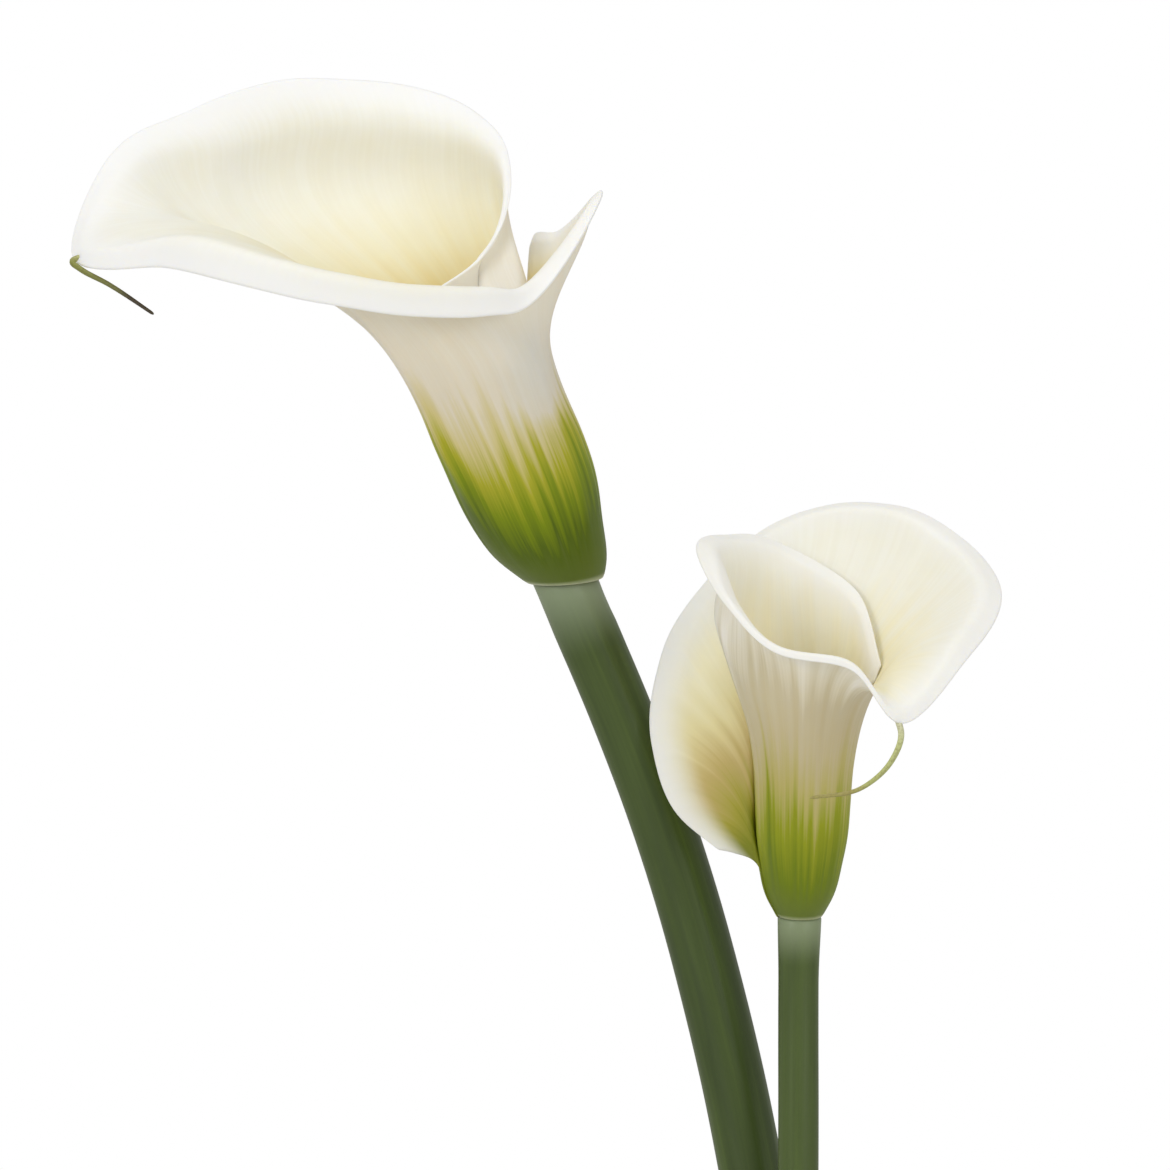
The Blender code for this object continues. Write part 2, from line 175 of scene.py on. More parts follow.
# Tails (millimetres from the funnel's base) and their half thickness
LARGE_TAIL = ((-124, -25.5, 83.8), (-127.6, -27, 82.4), (-125.5, -29, 80.6), (-118, -32, 76.5),
              (-106, -36, 68.5))
SMALL_TAIL = ((24.2, -46.8, 52), (25.2, -48.6, 48.2), (22.6, -51, 41), (15, -52, 34.2),
              (1.8, -50, 31.6))
TAIL_THICK = 0.9 * MM
TAIL_THIN = 0.45 * MM
TAIL_ENDS = (0.6, 0.5)          # share of that thickness left at the root and at the rounded end
TAIL_CREASE = 0.12              # depth of its creases, as a share of its half thickness
TAIL_TWIST = 0.3                # turns that the creases make along it
TAIL_WAVES = ((3, 5), (0.5, 2.0))
TAIL_DRYING = 26 * MM           # length that its colours run over
TAIL_POINTS = 40
TAIL_SIDES = 12

LARGE_SHEET = 0.9 * MM
SMALL_SHEET = 0.75 * MM
LARGE_LAYER = 1.35 * MM         # from one layer to the next where the sheet wraps over itself
SMALL_LAYER = 1.15 * MM
LEAVING_PULL = 1.25             # how far a sheet follows its funnel before it flares
LIP_BEND = 0.45                 # half the bend's length, as a share of the lip's width
LIP_ROWS = 12                   # faces across the lip
ANGLE_SHARE = 0.4               # share of the lines' spacing by angle, the rest is by rim length
BASE_PRESS = 0.35               # share of the step between layers that is left at the base
PRESSED = (10 * MM, 26 * MM)    # heights between which the layers come apart to the full step
RIPPLE = 0.35 * MM              # unevenness of the rims
RIPPLE_REACH = 25 * MM          # how far in from the edge it reaches
RIPPLE_WAVES = ((6, 11, 19), (1.0, 3.3, 0.7))   # waves along the rim, and their phases
RIB = 0.12 * MM                 # height of the soft ribs up the funnels
RIB_WAVES = ((17, 29, 41), (0.4, 2.0, 4.1))
RIB_RISE = (3 * MM, 20 * MM)    # heights between which the ribs grow out of the smooth base
GRAIN_BY_RIM = 0.5              # spread of the grain across the sheet: share of the rim's length
GRAIN_BY_ANGLE = 0.25 * MM      # and distance for each degree
STREAKS_BEGIN = (3 * MM, 16 * MM)   # heights between which the streaks set in
FUNNEL_POINTS = 60              # points on a line of the sheet, up the funnel
FLARE_POINTS = 120              # from there to the lip
LIP_POINTS = 40                 # over the lip

# Spadices: widths along the finger, from its foot to its tip, as shares of its radius
SPADIX_KNOTS = (0.0, 0.12, 0.35, 0.6, 0.8, 0.92, 0.98, 1.0)
SPADIX_WIDTHS = (0.62, 0.85, 1.0, 1.0, 0.9, 0.66, 0.36, 0.1)
FLORETS_ROUND = 17
FLORET_STEPS = 6                # faces across a floret
FLORET_HEIGHT = 0.14            # share of the finger's radius
ROW_HEIGHT = 0.87               # from one row of florets to the next, in floret widths
ROW_TURN = 0.31                 # how far each row is turned on, in floret widths
BARE_TIP = 0.06                 # share of the length over which the florets die out at the tip

LARGE_GRID = (160, 52)          # faces round and up the sheets, before smoothing
SMALL_GRID = (160, 46)

# Studio: middle and width of the view, its long lens (millimetres), the round floor (metres),
# and the strength of the surroundings' light
VIEW_MIDDLE = (-68.9 * MM, -20 * MM, 392.1 * MM)
VIEW_WIDTH = 304.2 * MM
LENS = 400.0
SENSOR_WIDTH = 36.0
STUDIO_RADIUS = 4.0
STUDIO_DROP = 0.2 * MM          # how far the studio's floor lies under the vase
SURROUNDINGS = 0.52
# Lamps, all turned to the flowers: place, width (metres) and power (watts)
FLOWERS = (-0.09, -0.02, 0.43)
LAMPS = {"key": ((-3.0, -3.8, 1.8), 1.8, 52), "fill": ((3.1, -3.6, 1.1), 2.8, 38),
         "top": ((-0.3, -0.4, 2.3), 0.9, 10)}


# ---------------------------------------------------------------- curves
def smooth_values(knots, values, where):
    """Cubic curve through values at knots, read at where."""
    knots = np.asarray(knots, float)
    values = np.asarray(values, float).reshape(len(knots), -1)
    steps = np.diff(knots)
    slopes = np.diff(values, axis=0) / steps[:, None]
    tangents = np.empty_like(values)
    tangents[0] = slopes[0]
    tangents[-1] = slopes[-1]
    before = steps[:-1, None]
    after = steps[1:, None]
    tangents[1:-1] = (after * slopes[:-1] + before * slopes[1:]) / (before + after)
    where = np.asarray(where, float)
    cell = np.clip(np.searchsorted(knots, where, side="right") - 1, 0, len(knots) - 2)
    width = steps[cell][:, None]
    t = ((where - knots[cell]) / steps[cell])[:, None]
    start = (2 * t ** 3 - 3 * t ** 2 + 1) * values[cell]
    end = (3 * t ** 2 - 2 * t ** 3) * values[cell + 1]
    start_turn = (t ** 3 - 2 * t ** 2 + t) * width * tangents[cell]
    end_turn = (t ** 3 - t ** 2) * width * tangents[cell + 1]
    return start + end + start_turn + end_turn


def run_along(points):
    """Distance along a polyline at each of its points."""
    return np.concatenate(([0.0], np.cumsum(np.linalg.norm(np.diff(points, axis=0), axis=1))))


def even_points(points, count):
    """Resamples a polyline to count points an equal distance apart."""
    along = run_along(points)
    wanted = np.linspace(0.0, along[-1], count)
    return np.stack([np.interp(wanted, along, points[:, i]) for i in range(3)], axis=1)


def smooth_route(points, count):
    """Evenly spaced points along a smooth curve through the given ones."""
    points = np.asarray(points, float)
    knots = run_along(points)
    fine = smooth_values(knots, points, np.linspace(0.0, knots[-1], CURVE_STEPS))
    return even_points(fine, count)


def ease(value, low, high):
    """0 up to low, 1 from high on, smooth between."""
    t = np.clip((value - low) / (high - low), 0.0, 1.0)
    return t * t * (3 - 2 * t)


def waves(turn, kinds):
    """Sum of sines round a turn, every next one weaker, mostly between -1 and 1.  kinds holds
    how many waves there are of each, and their phases."""
    weaker = 0.6
    total = 0.0
    for rank, (count, phase) in enumerate(zip(*kinds)):
        total = total + np.sin(2 * math.pi * count * turn + phase) / (1 + weaker * rank)
    return total / (1 + weaker)


# ---------------------------------------------------------------- meshes
def laid_grid(places, fibre, height, to_rim):
    """A grid with a vertex at each of places[column, row].  fibre is a direction to read the
    grain in (metres across and along), height and to_rim are distances along each line."""
    columns, rows = places.shape[:2]
    shape = bmesh.new()
    grain = shape.verts.layers.float_vector.new("fibre")
    above = shape.verts.layers.float.new("height")
    inside = shape.verts.layers.float.new("to_rim")
    bmesh.ops.create_grid(shape, x_segments=columns - 1, y_segments=rows - 1, size=1.0)
    for vert in shape.verts:
        i = round((vert.co.x + 1) / 2 * (columns - 1))
        j = round((vert.co.y + 1) / 2 * (rows - 1))
        vert[grain] = fibre[i, j]
        vert[above] = height[i, j]
        vert[inside] = to_rim[i, j]
        vert.co = places[i, j]
    return shape


def add_piece(name, shape, finishes, replaced):
    """Makes the bmesh a piece that rides on the part and stands for a CAD node."""
    mesh = bpy.data.meshes.new(name)
    shape.to_mesh(mesh)
    shape.free()
    for finish in finishes:
        mesh.materials.append(finish)
    mesh.shade_smooth()
    piece = bpy.data.objects.new(name, mesh)
    bpy.context.scene.collection.objects.link(piece)
    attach(piece, "root")
    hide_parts(replaced)
    return piece


def smoothed(piece):
    smoother = piece.modifiers.new("smooth", "SUBSURF")
    smoother.levels = 1
    smoother.render_levels = 1


def round_body(route, radii, sides, section, end_facing=None):
    """A closed round body along a route.  section(turn, share) is added to the radius, as a
    share of it, at turns round the body and shares of its length.  Towards the end its rings
    turn to face end_facing."""
    points = np.array([Vector(p) for p in route])
    turns = np.linspace(0.0, 1.0, sides + 1)
    along = run_along(points)
    places = np.zeros((sides + 1, len(points), 3))
    fibre = np.zeros_like(places)
    across = Vector((1, 0, 0))
    cosine = np.cos(2 * math.pi * turns)[:, None]
    sine = np.sin(2 * math.pi * turns)[:, None]
    for j in range(len(points)):
        ahead = Vector(points[min(j + 1, len(points) - 1)] - points[max(j - 1, 0)]).normalized()
        if end_facing is not None:
            share = float(ease(along[j], along[-1] - END_BLEND, along[-1] - END_BLEND / 3))
            ahead = ahead.lerp(end_facing, share).normalized()
        across = (across - ahead * across.dot(ahead)).normalized()
        other = ahead.cross(across)
        outward = cosine * np.array(across) + sine * np.array(other)
        radius = radii[j] * (1 + section(turns, along[j] / along[-1]))
        places[:, j] = points[j] + outward * radius[:, None]
        fibre[:, j] = np.concatenate((max(radii) * cosine, max(radii) * sine,
                                      np.full_like(cosine, along[j])), axis=1)
    places[-1] = places[0]
    height = np.tile(along, (sides + 1, 1))
    shape = laid_grid(places, fibre, height, along[-1] - height)
    bmesh.ops.remove_doubles(shape, verts=shape.verts, dist=MERGE_DISTANCE)
    rims = [edge for edge in shape.edges if edge.is_boundary]
    bmesh.ops.holes_fill(shape, edges=rims, sides=0)
    bmesh.ops.recalc_face_normals(shape, faces=shape.faces)
    return shape


# ---------------------------------------------------------------- finishes
def linear(code):
    """An sRGB hex colour as linear red, green, blue and alpha."""
    parts = [int(code[k:k + 2], 16) / 255 for k in (0, 2, 4)]
    return (*[c / 12.92 if c <= 0.04045 else ((c + 0.055) / 1.055) ** 2.4 for c in parts], 1.0)


def add_node(tree, kind, inputs=None, stops=None, **settings):
    """Adds a node with its settings, its colour stops, and its inputs set or linked."""
    made = tree.nodes.new("ShaderNode" + kind)
    for name, value in settings.items():
        setattr(made, name, value)
    for key, value in (inputs or {}).items():
        if isinstance(value, bpy.types.NodeSocket):
            tree.links.new(value, made.inputs[key])
        else:
            made.inputs[key].default_value = value
    if stops:
        ramp = made.color_ramp
        while len(ramp.elements) < len(stops):
            ramp.elements.new(1.0)
        for element, (place, colour) in zip(ramp.elements, stops):
            element.position = place
            element.color = linear(colour) if isinstance(colour, str) else (*[colour] * 3, 1.0)
    return made


def new_finish(name, constants):
    """A material with only its Principled shader, whose constants are set on its own sockets."""
    made = bpy.data.materials.new(name)
    made.use_nodes = True
    shader = made.node_tree.nodes["Principled BSDF"]
    for key, value in constants.items():
        shader.inputs[key].default_value = value
    return made, made.node_tree, shader


def spathe_finish(name, stops, reach, streak_shift, blush, margin_and_highlight_tint, margin_and_highlight_reach):
    """Spathe: a thin living leaf, waxy and faintly see-through, which glows in soft light.  The
    stops are its colours from the stem upwards over the distance reach; green streaks run up its
    veins by streak_shift; its margin takes margin_and_highlight_tint over the distance
    margin_and_highlight_reach, partly the margin's own paler colour and partly painted highlight
    on the rolled lip."""
    finish, tree, shader = new_finish(name, {
        "Roughness": 0.46, "IOR": 1.42, "Specular IOR Level": 0.3, "Subsurface Weight": 0.45,
        "Subsurface Radius": (1.0, 0.85, 0.6), "Subsurface Scale": 2.6 * MM})
    grain = add_node(tree, "Attribute", attribute_name="fibre")
    height = add_node(tree, "Attribute", attribute_name="height")
    margin = add_node(tree, "Attribute", attribute_name="to_rim")
    # Broad streaks about 5 mm apart round the funnel, and veins about 1.1 mm apart
    wide = add_node(tree, "Mapping", {"Vector": grain.outputs["Vector"],
                                      "Scale": (1 / (5 * MM), 1 / (5 * MM), 1 / (90 * MM))})
    fine = add_node(tree, "Mapping", {"Vector": grain.outputs["Vector"],
                                      "Scale": (1 / (1.1 * MM), 1 / (1.1 * MM), 1 / (40 * MM))})
    streaks = add_node(tree, "TexNoise", {"Vector": wide.outputs[0], "Scale": 1.0, "Detail": 2.0})
    veins = add_node(tree, "TexNoise", {"Vector": fine.outputs[0], "Scale": 1.0, "Detail": 1.0})
    both = add_node(tree, "Math", {0: veins.outputs["Fac"], 1: 0.35, 2: streaks.outputs["Fac"]},
                    operation="MULTIPLY_ADD")
    shifted = add_node(tree, "Math", {0: both.outputs[0], 1: -streak_shift,
                                      2: height.outputs["Fac"]}, operation="MULTIPLY_ADD")
    raised = add_node(tree, "Math", {0: shifted.outputs[0], 1: 0.66 * streak_shift},
                      operation="ADD")
    # No streaks in the first few millimetres, where the wall is one even green with a pale ring;
    # that ring, the outsides' first colour stop, is partly painted highlight on the rounded base
    low, high = STREAKS_BEGIN
    free = add_node(tree, "MapRange", {"Value": height.outputs["Fac"], "From Min": low,
                                       "From Max": high}, interpolation_type="SMOOTHSTEP")
    eased = add_node(tree, "Mix", {0: free.outputs[0], 2: height.outputs["Fac"],
                                   3: raised.outputs[0]}, data_type="FLOAT")
    share = add_node(tree, "Math", {0: eased.outputs[0], 1: reach}, operation="DIVIDE")
    colours = add_node(tree, "ValToRGB", {"Fac": share.outputs[0]}, stops=stops)
    # Cream clouds some 18 mm across
    where = add_node(tree, "TexCoord")
    clouds = add_node(tree, "TexNoise", {"Vector": where.outputs["Object"], "Scale": 1 / (18 * MM),
                                         "Detail": 3.0})
    cloud_share = add_node(tree, "ValToRGB", {"Fac": clouds.outputs["Fac"]},
                           stops=((0.4, 0.0), (0.8, 0.25)))
    clouded = add_node(tree, "Mix", {0: cloud_share.outputs["Color"], 6: colours.outputs["Color"],
                                     7: linear(blush)}, data_type="RGBA", blend_type="MULTIPLY")
    vein_share = add_node(tree, "ValToRGB", {"Fac": veins.outputs["Fac"]},
                          stops=((0.42, 0.08), (0.62, 0.0)))
    veined = add_node(tree, "Mix", {0: vein_share.outputs["Color"], 6: clouded.outputs[2],
                                    7: linear("e4dcc2")}, data_type="RGBA", blend_type="MULTIPLY")
    # The lip takes the margin's paler tint: partly its own colour, partly painted highlight on the
    # rolled lip
    edge = add_node(tree, "MapRange", {"Value": margin.outputs["Fac"], "From Min": 0.0,
                                       "From Max": margin_and_highlight_reach, "To Min": 0.9, "To Max": 0.0},
                    interpolation_type="SMOOTHSTEP")
    margin_and_highlight = add_node(tree, "Mix", {0: edge.outputs[0], 6: veined.outputs[2], 7: linear(margin_and_highlight_tint)},
                     data_type="RGBA")
    tree.links.new(margin_and_highlight.outputs[2], shader.inputs["Base Color"])
    # Veins stand about 0.05 mm proud, and the waxy skin is finely pebbled
    skin = add_node(tree, "TexNoise", {"Vector": where.outputs["Object"], "Scale": 1 / (0.6 * MM),
                                       "Detail": 2.0})
    pebbled = add_node(tree, "Bump", {"Height": skin.outputs["Fac"], "Strength": 0.1,
                                      "Distance": 0.05 * MM})
    ribbed = add_node(tree, "Bump", {"Height": both.outputs[0], "Strength": 0.35,
                                     "Distance": 0.12 * MM, "Normal": pebbled.outputs[0]})
    tree.links.new(ribbed.outputs[0], shader.inputs["Normal"])
    return finish


def stem_finish(name, skin, shade, pale, reach):
    """Stem: smooth, fleshy and dark green with a satin skin and fine fibres; it pales to a
    greyish green over reach under the flower, and its cut end is pale."""
    finish, tree, shader = new_finish(name, {
        "Roughness": 0.42, "IOR": 1.42, "Subsurface Weight": 0.06,
        "Subsurface Radius": (0.6, 1.0, 0.3), "Subsurface Scale": 1.0 * MM})
    grain = add_node(tree, "Attribute", attribute_name="fibre")
    height = add_node(tree, "Attribute", attribute_name="height")
    under = add_node(tree, "Attribute", attribute_name="to_rim")
    # Fibres about 0.9 mm apart and broad streaks 5 mm apart
    fine = add_node(tree, "Mapping", {"Vector": grain.outputs["Vector"],
                                      "Scale": (1 / (0.9 * MM), 1 / (0.9 * MM), 1 / (45 * MM))})
    wide = add_node(tree, "Mapping", {"Vector": grain.outputs["Vector"],
                                      "Scale": (1 / (5 * MM), 1 / (5 * MM), 1 / (60 * MM))})
    fibres = add_node(tree, "TexNoise", {"Vector": fine.outputs[0], "Scale": 1.0, "Detail": 1.5})
    streaks = add_node(tree, "TexNoise", {"Vector": wide.outputs[0], "Scale": 1.0, "Detail": 2.0})
    greens = add_node(tree, "ValToRGB", {"Fac": streaks.outputs["Fac"]},
                      stops=((0.3, shade), (0.7, skin)))
    fibre_share = add_node(tree, "ValToRGB", {"Fac": fibres.outputs["Fac"]},
                           stops=((0.4, 0.3), (0.65, 0.0)))
    lined = add_node(tree, "Mix", {0: fibre_share.outputs["Color"], 6: greens.outputs["Color"],
                                   7: linear(shade)}, data_type="RGBA")
    paling = add_node(tree, "MapRange", {"Value": under.outputs["Fac"], "From Min": NECK_HEIGHT,
                                         "From Max": reach, "To Min": 0.85, "To Max": 0.0},
                      interpolation_type="SMOOTHSTEP")
    paled = add_node(tree, "Mix", {0: paling.outputs[0], 6: lined.outputs[2], 7: linear(pale)},
                     data_type="RGBA")
    cut = add_node(tree, "MapRange", {"Value": height.outputs["Fac"], "From Min": 0.0,
                                      "From Max": CUT_REACH, "To Min": 0.9, "To Max": 0.0})
    cut_pale = add_node(tree, "Mix", {0: cut.outputs[0], 6: paled.outputs[2],
                                      7: linear("b9bd8d")}, data_type="RGBA")
    tree.links.new(cut_pale.outputs[2], shader.inputs["Base Color"])
    ribbed = add_node(tree, "Bump", {"Height": fibres.outputs["Fac"], "Strength": 0.4,
                                     "Distance": 0.08 * MM})
    tree.links.new(ribbed.outputs[0], shader.inputs["Normal"])
    return finish


def tail_finish(name, stops):
    """Tail: the leaf's thin green tip, drying towards its end."""
    finish, tree, shader = new_finish(name, {"Roughness": 0.5, "IOR": 1.42})
    height = add_node(tree, "Attribute", attribute_name="height")
    grain = add_node(tree, "Attribute", attribute_name="fibre")
    share = add_node(tree, "Math", {0: height.outputs["Fac"], 1: TAIL_DRYING}, operation="DIVIDE")
    colours = add_node(tree, "ValToRGB", {"Fac": share.outputs[0]}, stops=stops)
    flecks = add_node(tree, "TexNoise", {"Vector": grain.outputs["Vector"],
                                         "Scale": 1 / (0.8 * MM), "Detail": 2.0})
    fleck_share = add_node(tree, "ValToRGB", {"Fac": flecks.outputs["Fac"]},
                           stops=((0.45, 0.0), (0.7, 0.4)))
    flecked = add_node(tree, "Mix", {0: fleck_share.outputs["Color"],
                                     6: colours.outputs["Color"], 7: linear("6b5a33")},
                       data_type="RGBA")
    tree.links.new(flecked.outputs[2], shader.inputs["Base Color"])
    raised = add_node(tree, "Bump", {"Height": flecks.outputs["Fac"], "Strength": 0.3,
                                     "Distance": 0.06 * MM})
    tree.links.new(raised.outputs[0], shader.inputs["Normal"])
    return finish


def spadix_finish():
    """Spadix: hundreds of tiny florets under a dusting of pollen, deep yellow and quite dull."""
    finish, tree, shader = new_finish("pollen_dusted_florets", {
        "Roughness": 0.78, "Subsurface Weight": 0.12, "Subsurface Radius": (1.0, 0.6, 0.15),
        "Subsurface Scale": 0.8 * MM, "Sheen Weight": 0.25, "Sheen Roughness": 0.6})
    where = add_node(tree, "TexCoord")
    patches = add_node(tree, "TexNoise", {"Vector": where.outputs["Object"],
                                          "Scale": 1 / (3 * MM), "Detail": 3.0})
    colours = add_node(tree, "ValToRGB", {"Fac": patches.outputs["Fac"]},
                       stops=((0.32, "d0912a"), (0.5, "e6b73f"), (0.7, "f3d472")))
    pollen = add_node(tree, "TexNoise", {"Vector": where.outputs["Object"],
                                         "Scale": 1 / (0.25 * MM), "Detail": 2.0})
    tree.links.new(colours.outputs["Color"], shader.inputs["Base Color"])
    dusty = add_node(tree, "Bump", {"Height": pollen.outputs["Fac"], "Strength": 0.5,
                                    "Distance": 0.1 * MM})
    tree.links.new(dusty.outputs[0], shader.inputs["Normal"])
    return finish


def glaze_finish():
    """Vase: thrown stoneware under a smooth warm white glaze, which is glossy and carries fine iron
    specks."""
    finish, tree, shader = new_finish("glazed_stoneware", {
        "Roughness": 0.24, "IOR": 1.52, "Coat Weight": 0.6, "Coat Roughness": 0.06,
        "Coat IOR": 1.5})
    where = add_node(tree, "TexCoord")
    clouds = add_node(tree, "TexNoise", {"Vector": where.outputs["Object"],
                                         "Scale": 1 / (40 * MM), "Detail": 3.0})
    whites = add_node(tree, "ValToRGB", {"Fac": clouds.outputs["Fac"]},
                      stops=((0.35, "dcd6c6"), (0.65, "ebe6d9")))
    specks = add_node(tree, "TexVoronoi", {"Vector": where.outputs["Object"],
                                           "Scale": 1 / (7 * MM)})
    speck_share = add_node(tree, "ValToRGB", {"Fac": specks.outputs["Distance"]},
                           stops=((0.03, 0.75), (0.055, 0.0)))
    specked = add_node(tree, "Mix", {0: speck_share.outputs["Color"], 6: whites.outputs["Color"],
                                     7: linear("8a7455")}, data_type="RGBA")
    # The glaze thins to the clay's warm colour on the lip
    low, high = GLAZE_THINS
    spot = add_node(tree, "SeparateXYZ", {"Vector": where.outputs["Object"]})
    lip = add_node(tree, "MapRange", {"Value": spot.outputs["Z"], "From Min": low,
                                      "From Max": high, "To Min": 0.0, "To Max": 0.55})
    lipped = add_node(tree, "Mix", {0: lip.outputs[0], 6: specked.outputs[2],
                                    7: linear("c9ab83")}, data_type="RGBA")
    tree.links.new(lipped.outputs[2], shader.inputs["Base Color"])
    peel = add_node(tree, "TexNoise", {"Vector": where.outputs["Object"],
                                       "Scale": 1 / (4 * MM), "Detail": 1.0})
    uneven = add_node(tree, "Bump", {"Height": peel.outputs["Fac"], "Strength": 0.12,
                                     "Distance": 0.15 * MM})
    tree.links.new(uneven.outputs[0], shader.inputs["Normal"])
    return finish


def clay_finish():
    """Foot of the vase: bare fired clay, matt, sandy and warm grey."""
    finish, tree, shader = new_finish("bare_stoneware", {"Roughness": 0.85})
    where = add_node(tree, "TexCoord")
    sand = add_node(tree, "TexNoise", {"Vector": where.outputs["Object"],
                                       "Scale": 1 / (0.8 * MM), "Detail": 4.0})
    colours = add_node(tree, "ValToRGB", {"Fac": sand.outputs["Fac"]},
                       stops=((0.3, "a88f70"), (0.7, "cdb695")))
    tree.links.new(colours.outputs["Color"], shader.inputs["Base Color"])
    gritty = add_node(tree, "Bump", {"Height": sand.outputs["Fac"], "Strength": 0.5,
                                     "Distance": 0.15 * MM})
    tree.links.new(gritty.outputs[0], shader.inputs["Normal"])
    return finish


# ---------------------------------------------------------------- spathes
def section_middle(node, level):
    """Middle of a CAD node where a level plane cuts it."""
    cut = bmesh.new()
    cut.from_mesh(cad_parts[node].data)
    made = bmesh.ops.bisect_plane(cut, geom=cut.verts[:] + cut.edges[:] + cut.faces[:],
                                  plane_co=(0, 0, level), plane_no=(0, 0, 1))
    spots = np.array([v.co for v in made["geom_cut"] if isinstance(v, bmesh.types.BMVert)])
    cut.free()
    return Vector((spots.min(0) + spots.max(0)) / 2)


def end_middle(node, direction):
    """Middle of a CAD node's flat end, the one that lies farthest in a direction."""
    spots = np.array([v.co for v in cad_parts[node].data.vertices])
    reach = spots @ np.array(direction)
    face = spots[reach > reach.max() - END_DEPTH]
    return Vector((face.min(0) + face.max(0)) / 2)


def axis_frame(axis):
    """Two directions across a funnel's axis: one to the right, one to the back."""
    right = (Vector((1, 0, 0)) - axis * axis.x).normalized()
    return right, axis.cross(right)


def lip_spaced(line, lip_length, count):
    """Resamples a spathe's line, with LIP_ROWS of the points on its lip."""
    run = run_along(line)
    body = np.linspace(0.0, run[-1] - lip_length, count - LIP_ROWS)
    wanted = np.concatenate((body, np.linspace(body[-1], run[-1], LIP_ROWS + 1)[1:]))
    return np.stack([np.interp(wanted, run, line[:, i]) for i in range(3)], axis=1)


def fold_depth(folds, angle, heights):
    """How far the wall stands out at an angle, at heights up the funnel."""
    depth = RIB * waves(angle / 360, RIB_WAVES) * ease(heights, *RIB_RISE)
    for middle, width, low, high, out in folds:
        apart = (angle - middle + 180) % 360 - 180
        standing = out * MM * math.exp(-(apart / width) ** 2)
        depth = depth + standing * ease(heights, low * MM, high * MM)
    return depth


def spathe_line(axis, foot_axis, tube, folds, layer, station, turn_share, count):
    """One line of a spathe, from its base up the funnel, out to the rim and over its lip."""
    angle, leave, x, y, z, rise, curl, lip_width = station
    right, back = axis_frame(axis)
    turn = math.radians(angle)
    outward = np.array(right * math.cos(turn) + back * math.sin(turn))
    axis_line = np.array(axis)
    heights = np.linspace(0.0, leave * MM, FUNNEL_POINTS)
    radii = smooth_values([h * MM for h, _ in tube], [r * MM for _, r in tube], heights)[:, 0]
    radii = radii + layer * (BASE_PRESS + (1 - BASE_PRESS) * ease(heights, *PRESSED))
    radii = radii + fold_depth(folds, angle, heights)
    foot_line = np.array(foot_axis)
    level = -radii * (outward @ foot_line) / (axis_line @ foot_line)
    level = level * (1 - ease(heights, 0.0, FOOT_BLEND))
    wall = (heights + level)[:, None] * axis_line + radii[:, None] * outward
    start = wall[-1]
    rim_point = np.array((x, y, z)) * MM
    away = rim_point - leave * MM * axis_line
    away[2] = 0.0
    away = away / np.linalg.norm(away)
    # The lip, a bend and then a straight edge, is laid back from the rim point
    lip_length = lip_width * MM * (1 + LIP_BEND)
    lip_run = np.linspace(0.0, lip_length, LIP_POINTS)
    bent = ease(lip_run, 0.0, 2 * LIP_BEND * lip_width * MM)
    slopes = math.radians(rise) - math.radians(curl) * bent
    middle = ((slopes[1:] + slopes[:-1]) / 2)[:, None]
    steps = lip_run[1] * (np.cos(middle) * away + np.sin(middle) * np.array((0, 0, 1)))
    lip = np.cumsum(steps, axis=0)
    end = rim_point - lip[-1]
    slope = math.radians(rise)
    reach = np.linalg.norm(end - start)
    leaving = (wall[-1] - wall[-2]) / np.linalg.norm(wall[-1] - wall[-2]) * reach * LEAVING_PULL
    arriving = (away * math.cos(slope) + np.array((0, 0, math.sin(slope)))) * reach
    t = np.linspace(0.0, 1.0, FLARE_POINTS)[1:, None]
    flare = (2 * t ** 3 - 3 * t ** 2 + 1) * start
    flare = flare + (3 * t ** 2 - 2 * t ** 3) * end
    flare = flare + (t ** 3 - 2 * t ** 2 + t) * leaving + (t ** 3 - t ** 2) * arriving
    line = np.concatenate((wall, flare, end + lip))
    run = run_along(line)
    lift = RIPPLE * waves(turn_share, RIPPLE_WAVES)
    line[:, 2] += lift * ease(run, run[-1] - RIPPLE_REACH, run[-1])
    return lip_spaced(line, lip_length, count)


def line_angles(knots, columns, count):
    """Angles of a spathe's lines, closer together where the rim runs far in a small angle."""
    fine = np.linspace(knots[0], knots[-1], CURVE_STEPS)
    run = run_along(smooth_values(knots, columns, fine)[:, 1:4])
    turn = (fine - fine[0]) / (fine[-1] - fine[0])
    share = ANGLE_SHARE * turn + (1 - ANGLE_SHARE) * run / run[-1]
    return np.interp(np.linspace(0.0, 1.0, count), share, fine)


